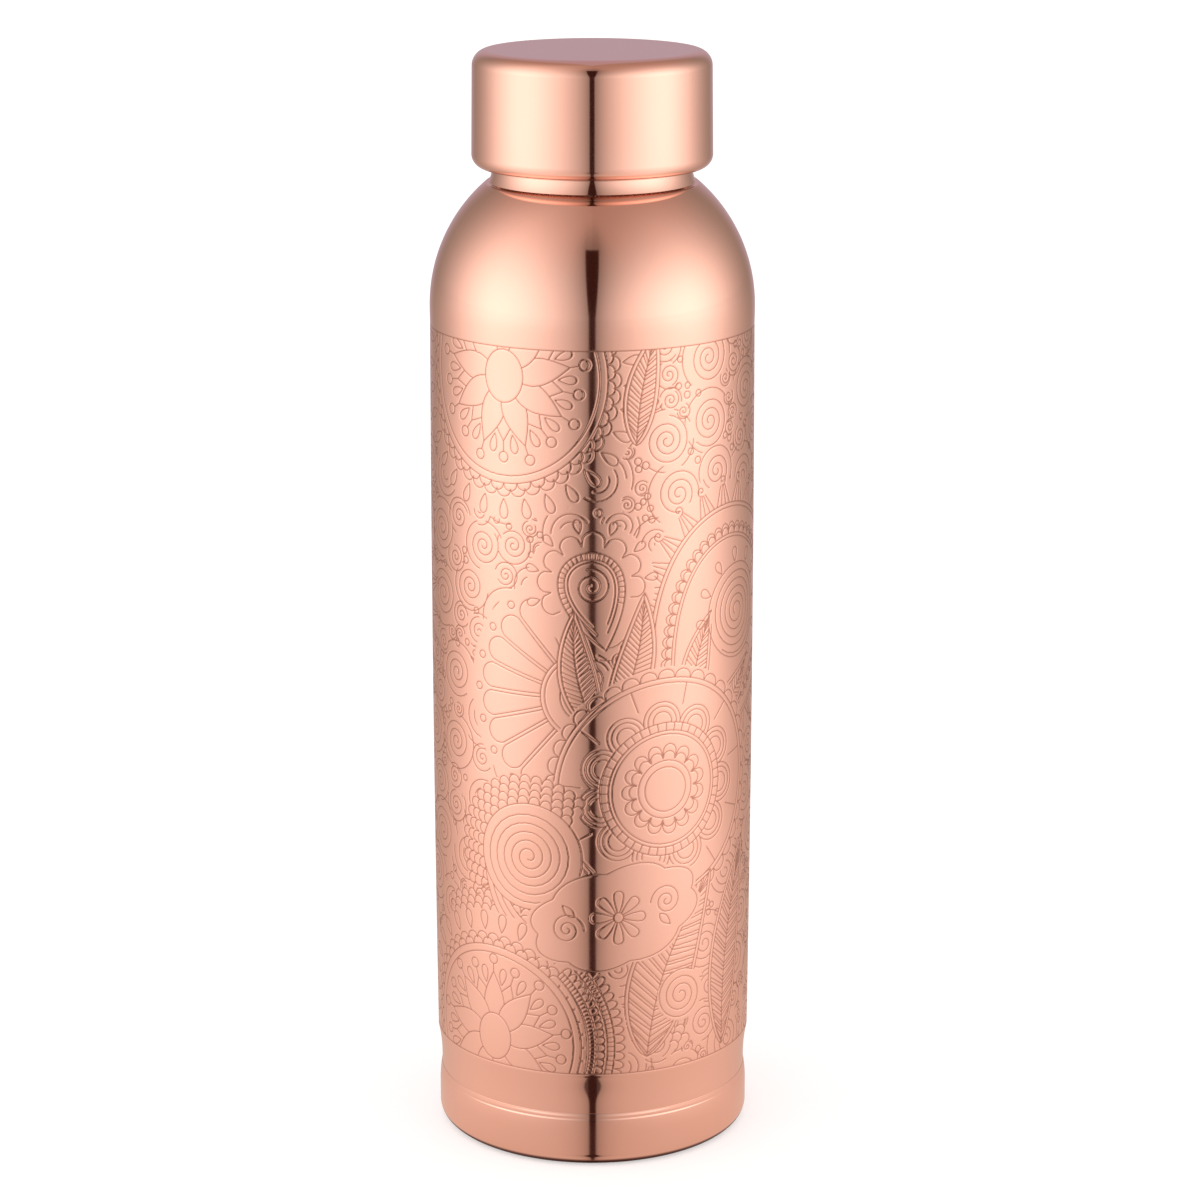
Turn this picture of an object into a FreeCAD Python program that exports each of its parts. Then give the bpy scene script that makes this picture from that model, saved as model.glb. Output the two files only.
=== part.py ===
"""Copper water bottle with a screw-on cap, as a parametric document.

Frame: +Z up, millimetres, origin at the centre of the ring that the bottle stands on.
Every turned or drawn piece is one closed outline in the XZ plane, revolved about Z.
"""

import FreeCAD, Part
import math
import os

import Sketcher

# Driving dimensions, in millimetres. Heights are measured from the surface the bottle stands on.
DIMENSIONS = {
    # sheet metal
    "body_wall": 0.6,
    "base_wall": 0.6,
    "lid_wall": 0.6,
    "braze_gap": 0.05,
    # body shell
    "dome_radius": 37.5,
    "dome_centre_height": 198.5,
    "band_top_height": 195.0,
    "band_top_radius": 37.45,
    "band_middle_height": 105.0,
    "band_middle_radius": 37.75,
    "band_bottom_height": 23.0,
    "band_bottom_radius": 37.38,
    "spigot_radius": 36.55,
    "spigot_top_height": 14.8,
    "spigot_end_height": 4.0,
    "shoulder_top_height": 227.0,
    "border_width": 0.5,
    "border_depth": 0.15,
    # base cup
    "base_radius": 37.2,
    "base_corner_radius": 3.2,
    "base_lip_height": 13.3,
    "base_lip_band": 1.3,
    "base_lip_crease": 0.14,
    "foot_inner_radius": 32.4,
    "base_panel_radius": 30.0,
    "base_panel_height": 2.6,
    # neck
    "neck_foot_radius": 22.35,
    "neck_foot_bore": 21.3,
    "neck_flange_radius": 23.9,
    "neck_shoulder_height": 230.4,
    "neck_root_radius": 21.0,
    "neck_bore": 19.9,
    "neck_top_height": 247.0,
    # collar
    "collar_radius": 24.15,
    "collar_flare": 0.22,
    "collar_flare_height": 0.6,
    "collar_top_height": 230.15,
    # screw thread
    "thread_pitch": 4.5,
    "thread_turned_length": 9.0,
    "thread_start_height": 235.0,
    "thread_depth": 1.2,
    "thread_root_width": 2.5,
    "thread_crest_width": 1.3,
    "thread_clearance": 0.4,
    "thread_bite": 0.3,
    # lid
    "lid_bottom_height": 230.4,
    "lid_curl_radius": 3.0,
    "lid_bottom_radius": 27.6,
    "lid_top_radius": 27.35,
    "lid_top_height": 257.0,
    "lid_edge_radius": 3.6,
    "sleeve_radius": 23.6,
    "sleeve_top_height": 249.1,
    "liner_thickness": 0.6,
    "seal_inner_radius": 18.8,
    "seal_outer_radius": 22.2,
    "seal_thickness": 1.95,
}
SHEET_NAME = "Dims"
DIAGONAL = math.sqrt(0.5)
# Shares of the sheet's thickness at the base cup's lip and under its floor
LIP_ROUND_SHARE = 0.8
FLOOR_BEND_SHARE = 0.3


class Size:
    """A length with its present value and the sheet expression that it comes from."""

    def __init__(self, value, text):
        self.value = value
        self.text = text

    @staticmethod
    def of(other):
        return other if isinstance(other, Size) else Size(other, repr(other))

    def _join(self, other, sign, value):
        return Size(value, f"({self.text} {sign} {Size.of(other).text})")

    def __add__(self, other):
        return self._join(other, "+", self.value + Size.of(other).value)

    def __sub__(self, other):
        return self._join(other, "-", self.value - Size.of(other).value)

    def __mul__(self, other):
        return self._join(other, "*", self.value * Size.of(other).value)

    def __truediv__(self, other):
        return self._join(other, "/", self.value / Size.of(other).value)


def size(name):
    """The driving dimension of that name."""
    return Size(DIMENSIONS[name], f"{SHEET_NAME}.{name}")


ZERO = Size(0.0, "0")


def middle(first, second):
    return (first + second) / 2


def radius_at(sphere_radius, height):
    """Radius of a sphere's horizontal section at a height above its centre."""
    square = sphere_radius * sphere_radius - height * height
    return Size(math.sqrt(square.value), f"sqrt({square.text})")


def round_point(centre_x, centre_z, radius, x_side, z_side):
    """The middle point of a quarter round about a centre."""
    reach = radius * DIAGONAL
    x = centre_x + reach if x_side > 0 else centre_x - reach
    z = centre_z + reach if z_side > 0 else centre_z - reach
    return x, z


def make_sheet(document):
    sheet = document.addObject("Spreadsheet::Sheet", SHEET_NAME)
    for row, (alias, value) in enumerate(DIMENSIONS.items(), start=1):
        sheet.set(f"A{row}", alias)
        sheet.set(f"B{row}", str(value))
        sheet.setAlias(f"B{row}", alias)
    document.recompute()
    return sheet


def new_body(document, label):
    body = document.addObject("PartDesign::Body", label)
    body.Label = label
    body.Placement = FreeCAD.Placement()
    return body


def new_sketch(body, name):
    """A sketch on the body's own XZ plane: sketch x is the radius, sketch y the height."""
    sketch = body.newObject("Sketcher::SketchObject", name)
    plane = next(f for f in body.Origin.OriginFeatures if f.Role == "XZ_Plane")
    sketch.AttachmentSupport = [(plane, "")]
    sketch.MapMode = "FlatFace"
    return sketch


def pin_point(sketch, element, point, label, place):
    """Holds a point at a radius and a height, both bound to the sheet."""
    for axis, kind, coordinate in (("x", "DistanceX", place[0]), ("z", "DistanceY", place[1])):
        if coordinate.value == 0:
            line = -2 if axis == "x" else -1
            sketch.addConstraint(Sketcher.Constraint("PointOnObject", element, point, line))
            continue
        index = sketch.addConstraint(
            Sketcher.Constraint(kind, -1, 1, element, point, coordinate.value))
        sketch.renameConstraint(index, f"{label}_{axis}")
        sketch.setExpression(f"Constraints.{label}_{axis}", coordinate.text)


def vector(place):
    return FreeCAD.Vector(place[0].value, place[1].value, 0)


def add_edge(sketch, begin, step):
    """Adds a line or an arc and returns the numbers of its first and last point.

    A sketch keeps every arc anticlockwise, so an arc that runs the other way is drawn from its end.
    """
    end = vector(step[0])
    if len(step) == 1:
        sketch.addGeometry(Part.LineSegment(begin, end))
        return 1, 2
    through = vector(step[1])
    anticlockwise = (through - begin).cross(end - through).z > 0
    if anticlockwise:
        sketch.addGeometry(Part.Arc(begin, through, end))
        return 1, 2
    sketch.addGeometry(Part.Arc(end, through, begin))
    return 2, 1


def draw_outline(sketch, start, steps):
    """Draws a closed outline of lines and three-point arcs.

    Each step is (end,) for a line or (end, through) for an arc, and the last step ends at start.
    """
    tips = []
    corner = start
    for step in steps:
        tips.append(add_edge(sketch, vector(corner), step))
        corner = step[0]
    for number, step in enumerate(steps):
        after = (number + 1) % len(steps)
        last = tips[number][1]
        sketch.addConstraint(
            Sketcher.Constraint("Coincident", number, last, after, tips[after][0]))
        pin_point(sketch, number, last, f"corner{number}", step[0])
    for number, step in enumerate(steps):
        if len(step) == 2:
            marker = sketch.addGeometry(Part.Point(vector(step[1])), True)
            sketch.addConstraint(Sketcher.Constraint("PointOnObject", marker, 1, number))
            pin_point(sketch, marker, 1, f"bow{number}", step[1])


def revolve(body, name, start, steps, kind="PartDesign::Revolution"):
    """Revolves an outline about the bottle's axis, to add or to cut."""
    sketch = new_sketch(body, f"{name}_outline")
    draw_outline(sketch, start, steps)
    feature = body.newObject(kind, name)
    feature.Profile = sketch
    feature.ReferenceAxis = (sketch, ["V_Axis"])
    feature.Angle = 360
    body.Tip = feature
    return feature


def wind_thread(body, name, root_radius, crest_radius, start_height):
    """Adds one right-hand screw ridge between a root radius and a crest radius."""
    half_root = size("thread_root_width") / 2
    half_crest = size("thread_crest_width") / 2
    start = (root_radius, start_height - half_root)
    steps = [
        ((crest_radius, start_height - half_crest),),
        ((crest_radius, start_height + half_crest),),
        ((root_radius, start_height + half_root),),
        (start,),
    ]
    sketch = new_sketch(body, f"{name}_profile")
    draw_outline(sketch, start, steps)
    helix = body.newObject("PartDesign::AdditiveHelix", name)
    helix.Profile = sketch
    helix.ReferenceAxis = (sketch, ["V_Axis"])
    helix.Mode = 0
    helix.LeftHanded = False
    helix.setExpression("Pitch", size("thread_pitch").text)
    helix.setExpression("Height", size("thread_turned_length").text)
    body.Tip = helix
    return helix


def cut_border(body, name, radius, height):
    """Cuts one shallow V line round the body at an edge of the engraved band.

    The cutter stands as far out of the surface as it goes in, so it is twice the line's width there.
    """
    width = size("border_width")
    depth = size("border_depth")
    start = (radius + depth, height - width)
    steps = [
        ((radius - depth, height),),
        ((radius + depth, height + width),),
        (start,),
    ]
    return revolve(body, name, start, steps, "PartDesign::Groove")


def make_body_shell(document):
    """Drawn tube with a domed shoulder. Its lower end is necked in to a spigot for the base cup."""
    body = new_body(document, "body_shell")
    wall = size("body_wall")
    dome = size("dome_radius")
    centre = size("dome_centre_height")
    land = size("shoulder_top_height")
    hole = size("neck_foot_radius") + size("braze_gap")
    spigot = size("spigot_radius")
    spigot_top = size("spigot_top_height")
    spigot_end = size("spigot_end_height")
    low = (size("band_bottom_radius"), size("band_bottom_height"))
    belly = (size("band_middle_radius"), size("band_middle_height"))
    high = (size("band_top_radius"), size("band_top_height"))
    cove = (spigot + (low[0] - spigot) / 4, middle(spigot_top, low[1]))
    dome_end = radius_at(dome, land - centre)
    dome_bow = round_point(ZERO, centre, dome, 1, 1)
    inner_dome = dome - wall
    inner_land = land - wall
    inner_end = radius_at(inner_dome, inner_land - centre)
    inner_bow = round_point(ZERO, centre, inner_dome, 1, 1)
    start = (spigot, spigot_end)
    steps = [
        ((spigot, spigot_top),),
        (low, cove),
        (high, belly),
        ((dome, centre),),
        ((dome_end, land), dome_bow),
        ((hole, land),),
        ((hole, inner_land),),
        ((inner_end, inner_land),),
        ((inner_dome, centre), inner_bow),
        ((high[0] - wall, high[1]),),
        ((low[0] - wall, low[1]), (belly[0] - wall, belly[1])),
        ((spigot - wall, spigot_top), (cove[0] - wall, cove[1])),
        ((spigot - wall, spigot_end),),
        (start,),
    ]
    revolve(body, "shell", start, steps)
    cut_border(body, "upper_border", high[0], high[1])
    cut_border(body, "lower_border", low[0], low[1])
    return body


def make_base_cup(document):
    """Drawn cup lapped over the spigot, with a creased lip, a round foot and a raised floor."""
    body = new_body(document, "base_cup")
    wall = size("base_wall")
    outer = size("base_radius")
    corner = size("base_corner_radius")
    top = size("base_lip_height")
    crease = size("base_lip_crease")
    crease_height = top - size("base_lip_band")
    inner = outer - wall
    foot_outer = outer - corner
    foot_inner = size("foot_inner_radius")
    panel = size("base_panel_radius")
    under = size("base_panel_height")
    lip = wall * LIP_ROUND_SHARE
    lip_x = outer - lip
    lip_z = top - lip
    bend = wall * FLOOR_BEND_SHARE
    start = (foot_outer, ZERO)
    steps = [
        ((outer, corner), round_point(foot_outer, corner, corner, 1, -1)),
        ((outer, crease_height - crease),),
        ((outer - crease, crease_height),),
        ((outer, crease_height + crease),),
        ((outer, lip_z),),
        ((lip_x, top), round_point(lip_x, lip_z, lip, 1, 1)),
        ((inner, top),),
        ((inner, corner),),
        ((foot_outer, wall), round_point(foot_outer, corner, corner - wall, 1, -1)),
        ((foot_inner + bend, wall),),
        ((panel + bend, under + wall),),
        ((ZERO, under + wall),),
        ((ZERO, under),),
        ((panel, under),),
        ((foot_inner, ZERO),),
        (start,),
    ]
    revolve(body, "cup", start, steps)
    return body


def make_neck_collar(document):
    """Plain ring on the shoulder, round the foot of the neck, slightly flared where it sits."""
    body = new_body(document, "neck_collar")
    seat = size("shoulder_top_height")
    top = size("collar_top_height")
    outer = size("collar_radius")
    flare = size("collar_flare")
    flare_top = seat + size("collar_flare_height")
    inner = size("neck_foot_radius") + size("braze_gap")
    start = (inner, seat)
    steps = [
        ((outer + flare, seat),),
        ((outer, flare_top), (outer + flare / 4, middle(seat, flare_top))),
        ((outer, top),),
        ((inner, top),),
        (start,),
    ]
    revolve(body, "ring", start, steps)
    return body


def make_neck_thread(document):
    """Mouth tube: a flange under the shoulder, a fat foot in the collar and a screw thread above."""
    body = new_body(document, "neck_thread")
    flange_top = size("shoulder_top_height") - size("body_wall")
    flange_bottom = flange_top - size("body_wall")
    flange = size("neck_flange_radius")
    foot = size("neck_foot_radius")
    foot_bore = size("neck_foot_bore")
    shoulder = size("neck_shoulder_height")
    root = size("neck_root_radius")
    bore = size("neck_bore")
    step = foot - root
    lip = (root - bore) / 2
    lip_centre = size("neck_top_height") - lip
    start = (foot_bore, flange_bottom)
    steps = [
        ((flange, flange_bottom),),
        ((flange, flange_top),),
        ((foot, flange_top),),
        ((foot, shoulder),),
        ((root, shoulder + step),),
        ((root, lip_centre),),
        ((bore, lip_centre), (middle(root, bore), size("neck_top_height"))),
        ((bore, shoulder + step),),
        ((foot_bore, shoulder),),
        (start,),
    ]
    revolve(body, "tube", start, steps)
    wind_thread(
        body, "screw_ridge", root - size("thread_bite"), root + size("thread_depth"),
        size("thread_start_height"))
    return body


def make_lid_shell(document):
    """Drawn cap: flat top, rounded edge, faintly tapered wall and a lower edge curled inwards."""
    body = new_body(document, "lid_shell")
    wall = size("lid_wall")
    bottom = size("lid_bottom_height")
    curl = size("lid_curl_radius")
    low_radius = size("lid_bottom_radius")
    high_radius = size("lid_top_radius")
    top = size("lid_top_height")
    edge = size("lid_edge_radius")
    curl_x = low_radius - curl
    curl_z = bottom + curl
    edge_x = high_radius - edge
    edge_z = top - edge
    seat = size("sleeve_radius") + size("braze_gap")
    start = (seat, bottom)
    steps = [
        ((curl_x, bottom),),
        ((low_radius, curl_z), round_point(curl_x, curl_z, curl, 1, -1)),
        ((high_radius, edge_z),),
        ((edge_x, top), round_point(edge_x, edge_z, edge, 1, 1)),
        ((ZERO, top),),
        ((ZERO, top - wall),),
        ((edge_x, top - wall),),
        ((high_radius - wall, edge_z), round_point(edge_x, edge_z, edge - wall, 1, 1)),
        ((low_radius - wall, curl_z),),
        ((curl_x, bottom + wall), round_point(curl_x, curl_z, curl - wall, 1, -1)),
        ((seat, bottom + wall),),
        (start,),
    ]
    revolve(body, "cap", start, steps)
    return body


def make_lid_sleeve(document):
    """Threaded sleeve inside the cap. Its ridge runs midway between the turns of the neck's."""
    body = new_body(document, "lid_sleeve")
    outer = size("sleeve_radius")
    clearance = size("thread_clearance")
    root = size("neck_root_radius") + size("thread_depth") + clearance
    crest = size("neck_root_radius") + clearance
    bottom = size("lid_bottom_height")
    top = size("sleeve_top_height")
    lead_in = size("lid_wall")
    start = (root + lead_in, bottom)
    steps = [
        ((outer, bottom),),
        ((outer, top),),
        ((root, top),),
        ((root, bottom + lead_in),),
        (start,),
    ]
    revolve(body, "tube", start, steps)
    wind_thread(
        body, "screw_ridge", root + size("thread_bite"), crest,
        size("thread_start_height") - size("thread_pitch") / 2)
    return body


def make_lid_liner(document):
    """Flat disc that closes the sleeve's top and backs the seal."""
    body = new_body(document, "lid_liner")
    radius = size("sleeve_radius")
    bottom = size("sleeve_top_height")
    top = bottom + size("liner_thickness")
    start = (ZERO, bottom)
    steps = [((radius, bottom),), ((radius, top),), ((ZERO, top),), (start,)]
    revolve(body, "disc", start, steps)
    return body


def make_lid_seal(document):
    """Flat sealing ring that the mouth's lip closes against, with slightly rounded corners."""
    body = new_body(document, "lid_seal")
    inner = size("seal_inner_radius")
    outer = size("seal_outer_radius")
    top = size("sleeve_top_height")
    bottom = top - size("seal_thickness")
    soft = size("seal_thickness") / 8
    start = (inner + soft, bottom)
    steps = [
        ((outer - soft, bottom),),
        ((outer, bottom + soft), round_point(outer - soft, bottom + soft, soft, 1, -1)),
        ((outer, top - soft),),
        ((outer - soft, top), round_point(outer - soft, top - soft, soft, 1, 1)),
        ((inner + soft, top),),
        ((inner, top - soft), round_point(inner + soft, top - soft, soft, -1, 1)),
        ((inner, bottom + soft),),
        (start, round_point(inner + soft, bottom + soft, soft, -1, -1)),
    ]
    revolve(body, "ring", start, steps)
    return body


def check(document, bodies):
    """Stops if any object failed to build or any piece is empty or broken."""
    for item in document.Objects:
        bad = {"Invalid", "Error"} & set(item.State)
        if bad:
            raise RuntimeError(f"{item.Name} is {bad}")
    for body in bodies:
        if body.Shape.isNull() or not body.Shape.isValid() or not body.Shape.Solids:
            raise RuntimeError(f"{body.Label} has no valid solid")


def write(bodies):
    os.makedirs("parts", exist_ok=True)
    for body in bodies:
        body.Shape.exportStep(f"parts/{body.Label}.step")
        box = body.Shape.BoundBox
        print(f"{body.Label}: {body.Shape.Volume:.1f} mm3, {box.XLength:.2f} x {box.ZLength:.2f} mm")


def main():
    document = FreeCAD.newDocument("copper_bottle")
    make_sheet(document)
    makers = [
        make_body_shell,
        make_base_cup,
        make_neck_collar,
        make_neck_thread,
        make_lid_shell,
        make_lid_sleeve,
        make_lid_liner,
        make_lid_seal,
    ]
    bodies = [make(document) for make in makers]
    document.recompute()
    check(document, bodies)
    write(bodies)


main()
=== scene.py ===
"""Looks of the copper water bottle: turned copper skins, an engraved band, light, floor and camera.

Blender works in metres. Shapes are written in millimetres and scaled by MM where a mesh is made.
"""

import math

import bpy
import numpy as np
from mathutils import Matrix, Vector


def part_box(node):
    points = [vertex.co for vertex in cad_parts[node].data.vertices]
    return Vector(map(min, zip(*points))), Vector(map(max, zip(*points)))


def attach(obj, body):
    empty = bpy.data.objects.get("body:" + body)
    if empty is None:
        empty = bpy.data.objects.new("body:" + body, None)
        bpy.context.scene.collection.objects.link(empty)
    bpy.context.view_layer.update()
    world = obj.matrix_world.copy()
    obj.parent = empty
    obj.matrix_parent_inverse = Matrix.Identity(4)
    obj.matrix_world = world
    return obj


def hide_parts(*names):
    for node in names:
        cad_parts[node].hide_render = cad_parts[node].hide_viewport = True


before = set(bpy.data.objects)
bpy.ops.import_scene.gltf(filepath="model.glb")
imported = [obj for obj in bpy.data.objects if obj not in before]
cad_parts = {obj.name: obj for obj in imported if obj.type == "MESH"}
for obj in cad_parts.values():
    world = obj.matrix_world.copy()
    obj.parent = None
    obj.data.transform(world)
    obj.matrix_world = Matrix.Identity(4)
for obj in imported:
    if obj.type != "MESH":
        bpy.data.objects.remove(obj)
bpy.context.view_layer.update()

MM = 0.001
TURN = 2 * math.pi

# Turned skins, in millimetres: points are (radius, height)
WALL = 0.6
FINE_COLUMNS = 1120
COLUMNS = 360
GUARD = 0.06
DOME_RADIUS = 37.5
DOME_CENTRE = 198.5
BAND_LOW = (37.38, 23.0)
BAND_MIDDLE = (37.75, 105.0)
BAND_HIGH = (37.45, 195.0)
BAND_ROWS = 800
BAND_SHARE = 0.8
SPIGOT_RADIUS = 36.55
SPIGOT_TOP = 14.8
NECK_HOLE = 22.4
COLLAR_FLARE = 1.5
COLLAR_FOOT = 0.85
COLLAR_FOOT_HEIGHT = 3.3

# Engraving, in millimetres
GROOVE_HALF_WIDTH = 0.21
GROOVE_DEPTH = 0.1
REACH = 0.6
BORDER_INSET = 0.5
STAMP_STEP = 0.08
SEED = 7

# Curls of the ground: radius in millimetres, and how many places are tried
GROUND_SIZES = ((6.2, 500), (5.0, 1200), (3.8, 2500), (2.6, 4000), (1.5, 6000), (0.8, 7000))

# Copper: colours, finishes, and the painted shade on the underside of the lid's lower edge, its
# heights in metres
COPPER = (0.965, 0.62, 0.52, 1.0)
COPPER_WORN = (0.955, 0.60, 0.495, 1.0)
# Painted shade for the underside of the lid's lower edge
COPPER_EDGE_SHADE = (0.48, 0.37, 0.33, 1.0)
PATINA = (0.30, 0.10, 0.055, 1.0)
PATINA_STRENGTH = 0.66
PATINA_ROUGHNESS = 0.25
BAND_SATIN = 1.9
BAND_BRUSHING = 0.85
POLISH = 0.065
TURNED_FINISH = 0.22
EDGE_SHADE_RISE = 0.00015
EDGE_SHADE_FADE = 0.00045

# Silicone seal, with the depth of its grain in metres
SILICONE = (0.72, 0.70, 0.66, 1.0)
SILICONE_PALE = (0.80, 0.78, 0.74, 1.0)
SILICONE_GRAIN = 0.00003

# Light that the copper sees, as linear red, green and blue; angles in degrees
PANEL_AZIMUTH = 70
PANEL_INNER_WIDTH = 56
PANEL_OUTER_WIDTH = 44
PANEL_LEFT_HEIGHT = 50
PANEL_RIGHT_HEIGHT = 40
PANEL_LIGHT = (1.50, 1.31, 1.235)
WALL_LIGHT = (0.27, 0.215, 0.18, 1.0)
CEILING_LIGHT = (0.42, 0.28, 0.225, 1.0)
CEILING_FROM = 20
CEILING_TO = 60
BACK_LIGHT = (0.48, 0.37, 0.42, 1.0)
BACK_FROM = 145
BACK_TO = 172
FLOOR_LIGHT = (0.69, 0.495, 0.407, 1.0)

# Dark gap between the two panels, in degrees
SLOT_LIGHT = (0.040, 0.013, 0.010, 1.0)
SLOT_HALF_WIDTH = 2.0
SLOT_HALF_WIDTH_ABOVE = 6.2
SLOT_TOP = 48
SLOT_BLUR = 0.7
SLOT_BULGE = 4.5
SLOT_BULGE_BELOW = 38
SLOT_BULGE_HEIGHT = 7
SHADE_WIDTH = 9
SHADE_STRENGTH = 0.52
SHADE_FADE_FROM = 45
SHADE_FADE_TO = 75

# Floor, in metres; in the copper it is painted light that grows brighter with its distance from the
# object, after a painted contact shadow at the foot
WHITE = (1.0, 1.0, 1.0, 1.0)
FLOOR_TONES = ((0.50, 0.50, 0.50, 1.0), (0.52, 0.52, 0.52, 1.0))
FLOOR_RADIUS = 9
FLOOR_SIDES = 96
FLOOR_GLOW = 0.5
FLOOR_EDGE_ELEVATION = -5
FLOOR_ELEVATION = -10
FLOOR_NEAR = 0.03
FLOOR_REACH = 0.42
FLOOR_GROWTH = 0.7
# Painted contact shadow: how far out from the axis the dark ring on the mirrored floor reaches
CONTACT_SHADOW_FROM = 0.0362
CONTACT_SHADOW_TO = 0.0378

# Camera and lamp, in metres and degrees
CAMERA_PLACE = (0.00177, -0.8209, 0.3445)
CAMERA_PITCH = 14.78
LENS = 108.1
SENSOR_WIDTH = 36.0
LAMP_HEIGHT = 1.5
LAMP_ANGLE = 120
LAMP_ENERGY = 2.4
LAMP_COLOUR = (0.92, 0.97, 1.0)


# ---------------------------------------------------------------- outlines

def straight(start, end, steps=1):
    """Points from start to end, with a guard point close to each end that keeps the shading flat."""
    start = np.array(start, float)
    end = np.array(end, float)
    guard = min(GUARD / np.linalg.norm(end - start), 0.25)
    shares = [0.0, guard, *np.linspace(guard, 1 - guard, steps + 1)[1:-1], 1 - guard, 1.0]
    return [tuple(start + (end - start) * share) for share in shares]


def round_arc(centre, radius, first, last, steps=10):
    """Points of a circular arc between two angles in degrees, measured from straight outwards."""
    x, z = centre
    angles = np.radians(np.linspace(first, last, steps + 1))
    return [(x + radius * math.cos(a), z + radius * math.sin(a)) for a in angles]


def arc_through(start, through, end, steps):
    """Points of the circular arc from start to end through a third point."""
    a, b, c = (complex(*point) for point in (start, through, end))
    ratio = (c - a) / (b - a)
    centre = a + (b - a) * (ratio - abs(ratio) ** 2) / (2j * ratio.imag)
    radius = abs(a - centre)
    first = math.atan2((a - centre).imag, (a - centre).real)
    span = np.angle((c - centre) / (a - centre))
    angles = first + span * np.linspace(0, 1, steps + 1)
    x, z = centre.real, centre.imag
    return [(x + radius * math.cos(a), z + radius * math.sin(a)) for a in angles]


def join(*runs):
    """One outline from several runs of points, without the doubled points where they meet."""
    points = []
    for point in (p for run in runs for p in run):
        if not points or math.dist(points[-1], point) > 1e-6:
            points.append(point)
    if len(points) > 1 and math.dist(points[0], points[-1]) < 1e-6:
        points.pop()
    return np.array(points)


# ---------------------------------------------------------------- meshes

def grid_faces(rows, columns, closed):
    """Four-cornered faces of a turned grid, as rows of vertex numbers."""
    row = np.arange(rows if closed else rows - 1)[:, None]
    column = np.arange(columns)[None, :]
    above = (row + 1) % rows
    beside = (column + 1) % columns
    corners = (row * columns + column, row * columns + beside,
               above * columns + beside, above * columns + column)
    return np.stack([np.broadcast_to(c, (row.size, columns)) for c in corners], -1).reshape(-1, 4)


def turned_skin(name, outline, columns, share=None, sink=None):
    """A smooth closed skin of revolution about Z, with its own flat layout for baking.

    The outline is a closed loop, or it runs from the axis to the axis. share places each of its rows
    in the flat layout, and sink is how far each point is pressed in, in millimetres.
    """
    closed = outline[0][0] > 0
    radii = np.repeat(outline[:, :1], columns, 1)
    if sink is not None:
        radii = radii - sink
    angles = np.arange(columns) / columns * TURN
    heights = np.repeat(outline[:, 1:], columns, 1)
    spots = np.stack([radii * np.sin(angles), -radii * np.cos(angles), heights], -1) * MM
    if not closed:
        spots[0, :, :2] = 0
        spots[-1, :, :2] = 0
    rows = len(outline)
    faces = grid_faces(rows, columns, closed)
    if share is None:
        steps = np.linalg.norm(np.diff(outline, axis=0), axis=1)
        share = np.concatenate([[0], np.cumsum(steps)]) / (steps.sum() * (1 + 1 / rows))
    share = np.append(share, 1.0)
    face_row = np.repeat(np.arange(len(faces) // columns), columns)
    face_column = np.tile(np.arange(columns), len(faces) // columns)
    corner_u = np.stack([face_column, face_column + 1, face_column + 1, face_column], -1) / columns
    corner_v = share[np.stack([face_row, face_row, face_row + 1, face_row + 1], -1)]
    mesh = bpy.data.meshes.new(name)
    if closed:
        fill_mesh(mesh, spots.reshape(-1, 3), faces, corner_u, corner_v)
    else:
        fill_capped(mesh, spots, faces, corner_u, corner_v, rows, columns)
    skin = bpy.data.objects.new(name, mesh)
    bpy.context.scene.collection.objects.link(skin)
    return skin


def fill_capped(mesh, spots, faces, corner_u, corner_v, rows, columns):
    """Fills a skin whose first and last rows are single points on the axis."""
    number = np.empty((rows, columns), int)
    number[0] = 0
    number[1:-1] = 1 + np.arange((rows - 2) * columns).reshape(rows - 2, columns)
    number[-1] = 1 + (rows - 2) * columns
    vertices = np.concatenate([spots[0, :1], spots[1:-1].reshape(-1, 3), spots[-1, :1]])
    fill_mesh(mesh, vertices, number.reshape(-1)[faces], corner_u, corner_v)


def fill_mesh(mesh, vertices, faces, corner_u, corner_v):
    """Writes vertices and faces, leaving out the doubled corner of a face that meets the axis."""
    keep = faces != np.roll(faces, 1, axis=1)
    counts = keep.sum(1)
    mesh.vertices.add(len(vertices))
    mesh.vertices.foreach_set("co", vertices.astype(np.float32).ravel())
    mesh.loops.add(int(counts.sum()))
    mesh.loops.foreach_set("vertex_index", faces[keep].astype(np.int32))
    mesh.polygons.add(len(faces))
    starts = np.concatenate([[0], np.cumsum(counts)[:-1]])
    mesh.polygons.foreach_set("loop_start", starts.astype(np.int32))
    mesh.update(calc_edges=True)
    layout = mesh.uv_layers.new(name="OFBake")
    flat = np.stack([corner_u[keep], corner_v[keep]], -1)
    layout.data.foreach_set("uv", flat.astype(np.float32).ravel())
    mesh.validate()
    mesh.shade_smooth()


# ---------------------------------------------------------------- engraving

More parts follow.
